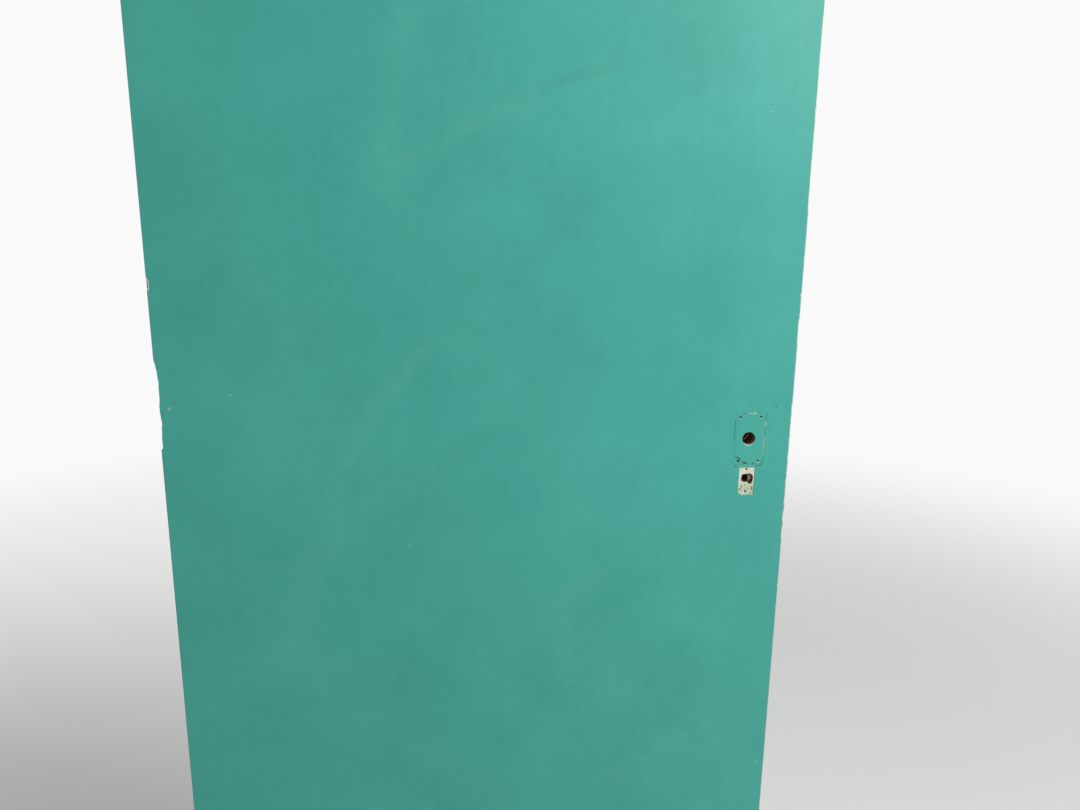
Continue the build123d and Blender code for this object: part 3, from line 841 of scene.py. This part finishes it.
class DOOR_OT_stiles(Operator):
    """Stiles: old gloss on the long edges, chisel cuts in the hinge gains, knocks and worn corners"""

    bl_idname = "door.stiles"
    bl_label = "Stiles"

    def execute(self, context):
        sizes = context.scene.door_wear
        for name, edge in (("hinge_stile", HINGE_EDGE), ("lock_stile", LOCK_EDGE)):
            bm = node_mesh(name)
            outer = [face for face in bm.faces if abs(face.calc_center_median().x - edge) < 4 * MM]
            outer = cut_across(bm, outer, 2, steps(0, TOP, 2 * sizes.chisel_step)[1:-1])
            outer = cut_across(bm, outer, 1, steps(SKIN_INSIDE, -SKIN_INSIDE, 3 * MM)[1:-1])
            sunk = [face for face in outer if abs(face.calc_center_median().x - edge) > MM]
            refine(bm, outer, 1, upright=True)
            refine(bm, [face for face in sunk if face.is_valid], 3, upright=True)
            for face in bm.faces:
                flush = abs(face.calc_center_median().x - edge) < NEAR
                face.material_index = 0 if flush else 1
            self.wear_edge(bm, edge, sizes)
            finish_piece(bm, name + "_painted", ["Old gloss on pine", "Planed pine upright"],
                         name)
        return {"FINISHED"}

    def wear_edge(self, bm, edge, sizes):
        """Knocks the long edge, wears it round its cuts, and chisels the floors of the cuts."""
        wear, soil_and_shade = layers(bm)
        side = 1 if edge > 0 else -1
        seats, (width, height) = (HINGE_SEATS, HINGE_CUT) if edge < 0 else ([LOCK_SEAT], LOCK_CUT)
        for vert in bm.verts:
            depth = abs(vert.co.x - edge)
            place = vert.co.yz
            cut = min(outside_rectangle(place, seat.yz, width, height, NEAR) for seat in seats)
            if depth < NEAR:
                knock = smooth((ripple((0, place.x, place.y), 34 * MM, 9 + 4 * side) - 0.34) / 0.22)
                rub = smooth(1 - cut / (2.2 * MM + 1.2 * MM * ripple(vert.co, 9 * MM, 4)))
                vert[wear] = max(0.95 * rub, 0.9 * knock)
                vert[soil_and_shade] = -0.25 * smooth(0.6 + ripple(vert.co, 60 * MM, 9))
                vert.co.x -= side * (0.25 * MM * knock + 0.10 * MM * rub)
            elif 2.5 * MM < depth <= 4 * MM:
                beat = abs(sin(pi * (place.y + 3 * MM * ripple(vert.co, 40 * MM, 7)) / sizes.chisel_step))
                vert.co.x -= side * sizes.chisel_depth * (1 - beat ** 1.5) * (1 if abs(cut) > NEAR else 0)
                vert[soil_and_shade] = -0.30 - 0.25 * ripple(vert.co, 14 * MM, 3)


class DOOR_OT_lock_block(Operator):
    """Lock block: splintered wood in the broken keyhole, and the mortice darkened by dirt and painted shade
    """

    bl_idname = "door.lock_block"
    bl_label = "Lock Block"

    def execute(self, context):
        bm = node_mesh("lock_block")
        reach = Vector((KEYHOLE_REACH, 0, KEYHOLE_REACH))
        low, high = KEY - reach, KEY + reach
        low.y, high.y = SKIN_INSIDE, MORTICE_LOW.y
        walls = [face for face in bm.faces if within(face, low, high) and abs(face.normal.y) < 0.5]
        for axis in (1, 2, 0):
            walls = cut_across(bm, walls, axis, steps(low[axis], high[axis], 0.7 * MM)[1:-1])
        corner = Vector((SPLINTER_REACH + MM, NEAR, SPLINTER_REACH + MM))
        front = Vector((KEY.x, SKIN_INSIDE, KEY.z))
        grid_region(bm, front - corner, front + corner, 0.8 * MM)
        _, soil_and_shade = layers(bm)
        for vert in bm.verts:
            # The mortice and the wood round it are darkened: dirt, and painted shade deep in the mortice
            if vert.co.x > MORTICE_LOW.x - 2 * MM and abs(vert.co.z - KEY.z - 27 * MM) <= 70 * MM:
                vert[soil_and_shade] = -0.62
                if (vert.co - KEY).xz.length < SPLINTER_REACH and vert.co.y < MORTICE_LOW.y + MM:
                    self.splinter(vert, soil_and_shade)
        finish_piece(bm, "lock_block_splintered", ["Planed pine upright"], "lock_block")
        return {"FINISHED"}

    def splinter(self, vert, soil_and_shade):
        """Tears the wood round the keyhole, leaves a ledge at its right, and paints shade, lighter on the
        ledge's top.
        """
        from_key = vert.co - KEY
        away = from_key.xz.length
        deep = smooth((vert.co.y - SKIN_INSIDE) / (MORTICE_LOW.y - SKIN_INSIDE))
        right = smooth((from_key.x + 4 * MM) / (9 * MM)) * smooth((SPLINTER_REACH - away) / (5 * MM))
        # The upper part of the ledge is darkened less: a painted pool of light where light would reach it;
        # the rest of the darkening in the hole is painted shade
        painted_lit = smooth((from_key.x - 2 * MM) / (3 * MM)) * smooth((from_key.z + 3 * MM) / (2 * MM))
        vert[soil_and_shade] = -0.78 + 0.22 * painted_lit + 0.20 * ripple(vert.co, 1.3 * MM, 5)
        vert.co.x -= 4.2 * MM * right
        vert.co.y += 0.6 * MM * right * (1 - deep) * abs(ripple(vert.co, 1.5 * MM, 23))
        vert.co.x += 0.7 * MM * deep * ripple(vert.co, 1.6 * MM, 3)
        vert.co.z += 0.7 * MM * deep * ripple(vert.co, 1.6 * MM, 8)


class DOOR_OT_torn_fibres(Operator):
    """Torn fibres: slivers of wood left standing in the broken keyhole, and dark ones across the spindle hole
    as painted shade
    """

    bl_idname = "door.torn_fibres"
    bl_label = "Torn Fibres"

    def execute(self, context):
        random = Random(7)
        rim = [vert.co.copy() for vert in frame["nodes"]["lock_block"].data.vertices
               if abs(vert.co.y - SKIN_INSIDE) < NEAR and (vert.co - KEY).xz.length < 11 * MM]
        bm = bmesh.new()
        for corner in [*rim, *rim]:
            inward = (KEY - corner).normalized()
            root = corner + Vector((0, random.uniform(0.4, 4) * MM, 0)) - inward * 0.4 * MM
            stray = [random.uniform(low, high) for low, high in ((-0.7, 0.7), (-0.4, 0.2), (-0.7, 0.7))]
            length, width = random.uniform(1.2, 3.4) * MM, random.uniform(0.3, 0.8) * MM
            self.sliver(bm, root, inward + Vector(stray), length, width)
        wooden = len(bm.faces)
        # Dark slivers of hardboard round the back of the spindle hole, which close it off: they stand in for
        # the shade in the hole
        for number in range(27):
            turn = radians(4 * number - 90)
            side = Vector((cos(turn), 0, sin(turn)))
            root = SPINDLE + side * SPINDLE_RADIUS * 1.02
            root.y = BACK - random.uniform(1.3, 3.0) * MM
            lean = -side + Vector((0, random.uniform(-0.15, 0.05), random.uniform(-0.25, 0.25)))
            self.sliver(bm, root, lean, random.uniform(3.4, 5.0) * MM, random.uniform(1.4, 2.2) * MM)
        for number, face in enumerate(bm.faces):
            face.material_index = 0 if number < wooden else 1
        _, soil_and_shade = layers(bm)
        # Slivers at the keyhole are dirty wood; those in the spindle hole are darkened nearly black, as
        # painted shade
        for vert in bm.verts:
            key_rim = (vert.co - KEY).xz.length < 14 * MM
            vert[soil_and_shade] = -0.45 + 0.3 * ripple(vert.co, 1.1 * MM, 2) if key_rim else -0.75
        finish_piece(bm, "torn_fibres", ["Planed pine upright", "Bare hardboard"], None)
        return {"FINISHED"}

    def sliver(self, bm, root, lean, length, width):
        """One sliver of wood, from its root to its point."""
        lean.normalize()
        middle = root + lean * length / 2
        turn = lean.to_track_quat("Z", "Y").to_matrix().to_4x4()
        bmesh.ops.create_cone(bm, cap_ends=True, segments=6, radius1=width / 2, radius2=0.04 * MM,
                              depth=length, matrix=Matrix.Translation(middle) @ turn)


class DOOR_OT_frame(Operator):
    """The rails, the spare block, the core and the staples"""

    bl_idname = "door.frame"
    bl_label = "Rails and Core"

    def execute(self, context):
        materials = {"rail": "Planed pine level", "spare_block": "Planed pine upright",
                     "strip": "Bare hardboard", "staples": "Galvanised wire"}
        for name, node in frame["nodes"].items():
            for word, material in materials.items():
                if word in name:
                    node.data.materials.clear()
                    node.data.materials.append(finish(material))
        return {"FINISHED"}


class DOOR_OT_stage(Operator):
    """Plain pale floor, soft lamps, white background and the camera"""

    bl_idname = "door.stage"
    bl_label = "Stage"

    def execute(self, context):
        stage = context.scene.door_stage
        self.make_floor(stage)
        self.make_world(context.scene, stage)
        self.make_lamp("Key Lamp", (2.0, -1.6, 2.45), 1.4, stage.key_power)
        self.make_lamp("Fill Lamp", (-2.2, -1.8, 1.5), 1.8, stage.fill_power)
        self.make_lamp("Back Lamp", (-1.2, 2.6, 2.4), 2.0, stage.back_power)
        camera = bpy.data.objects.new("Camera", bpy.data.cameras.new("Camera"))
        camera.data.lens = stage.lens
        camera.data.sensor_fit = "HORIZONTAL"
        camera.location = stage.eye
        camera.rotation_euler = stage.turn
        context.scene.collection.objects.link(camera)
        context.scene.camera = camera
        context.scene.view_settings.view_transform = "Standard"
        return {"FINISHED"}

    def make_floor(self, stage):
        """A round floor that fades out into the background."""
        bm = bmesh.new()
        bmesh.ops.create_circle(bm, cap_ends=True, segments=96, radius=stage.floor_radius)
        mesh = bpy.data.meshes.new("Floor")
        bm.to_mesh(mesh)
        bm.free()
        piece = bpy.data.objects.new("Floor", mesh)
        bpy.context.scene.collection.objects.link(piece)
        material, tree, place = new_material("Plain pale floor")
        away = add(tree, "VectorMath", {0: place}, output="Value", operation="LENGTH")
        fade = add(tree, "MapRange", {"Value": away, "From Min": 1.0, "From Max": stage.floor_radius - 0.2},
                   interpolation_type="SMOOTHSTEP")
        matt = add(tree, "BsdfDiffuse", {"Color": solid(stage.floor)})
        clear = add(tree, "BsdfTransparent")
        both = add(tree, "MixShader", {0: fade, 1: matt, 2: clear})
        add(tree, "OutputMaterial", {"Surface": both})
        mesh.materials.append(material)

    def make_world(self, scene, stage):
        """Grey light from all round, with a white background for the camera, for gloss and for glass."""
        world = bpy.data.worlds.new("Studio")
        world.use_nodes = True
        tree = world.node_tree
        tree.nodes.clear()
        rays = add(tree, "LightPath").node.outputs
        seen = rays["Is Camera Ray"]
        for ray in ("Is Glossy Ray", "Is Transmission Ray"):
            seen = add(tree, "Math", {0: seen, 1: rays[ray]}, operation="MAXIMUM")
        strength = add(tree, "Mix", {0: seen, 2: stage.ambient, 3: stage.backdrop})
        light = add(tree, "Background", {"Color": solid((1.0, 1.0, 1.0)), "Strength": strength})
        add(tree, "OutputWorld", {"Surface": light})
        scene.world = world

    def make_lamp(self, name, place, side, power):
        """A square lamp that faces the middle of the door."""
        light = bpy.data.lights.new(name, "AREA")
        light.shape = "SQUARE"
        light.size = side
        light.energy = power
        lamp = bpy.data.objects.new(name, light)
        lamp.location = place
        toward = Vector((0, 0, TOP / 2)) - lamp.location
        lamp.rotation_euler = toward.to_track_quat("-Z", "Y").to_euler()
        lamp.visible_camera = False
        bpy.context.scene.collection.objects.link(lamp)


PIECES = (DOOR_OT_front_skin, DOOR_OT_back_skin, DOOR_OT_stiles, DOOR_OT_lock_block, DOOR_OT_torn_fibres,
          DOOR_OT_frame, DOOR_OT_stage)
GROUPS = (("door_paint", DoorPaint), ("door_wear", DoorWear), ("door_stage", DoorStage))


class DOOR_PT_sidebar(Panel):
    """Lists what dresses the door"""

    bl_label = "Hollow Core Door"
    bl_space_type = "VIEW_3D"
    bl_region_type = "UI"
    bl_category = "Door"

    def draw(self, context):
        for piece in PIECES:
            self.layout.operator(piece.bl_idname)
        for name, group in GROUPS:
            box = self.layout.box()
            for item in group.__annotations__:
                box.prop(getattr(context.scene, name), item)


def register():
    for name, group in GROUPS:
        bpy.utils.register_class(group)
        setattr(bpy.types.Scene, name, PointerProperty(type=group))
    for item in (*PIECES, DOOR_PT_sidebar):
        bpy.utils.register_class(item)


def unregister():
    for item in (DOOR_PT_sidebar, *reversed(PIECES)):
        bpy.utils.unregister_class(item)
    for name, group in reversed(GROUPS):
        delattr(bpy.types.Scene, name)
        bpy.utils.unregister_class(group)


def main():
    register()
    bpy.ops.door.front_skin()
    bpy.ops.door.back_skin()
    bpy.ops.door.stiles()
    bpy.ops.door.lock_block()
    bpy.ops.door.torn_fibres()
    bpy.ops.door.frame()
    bpy.ops.door.stage()


if __name__ == "__main__":
    main()
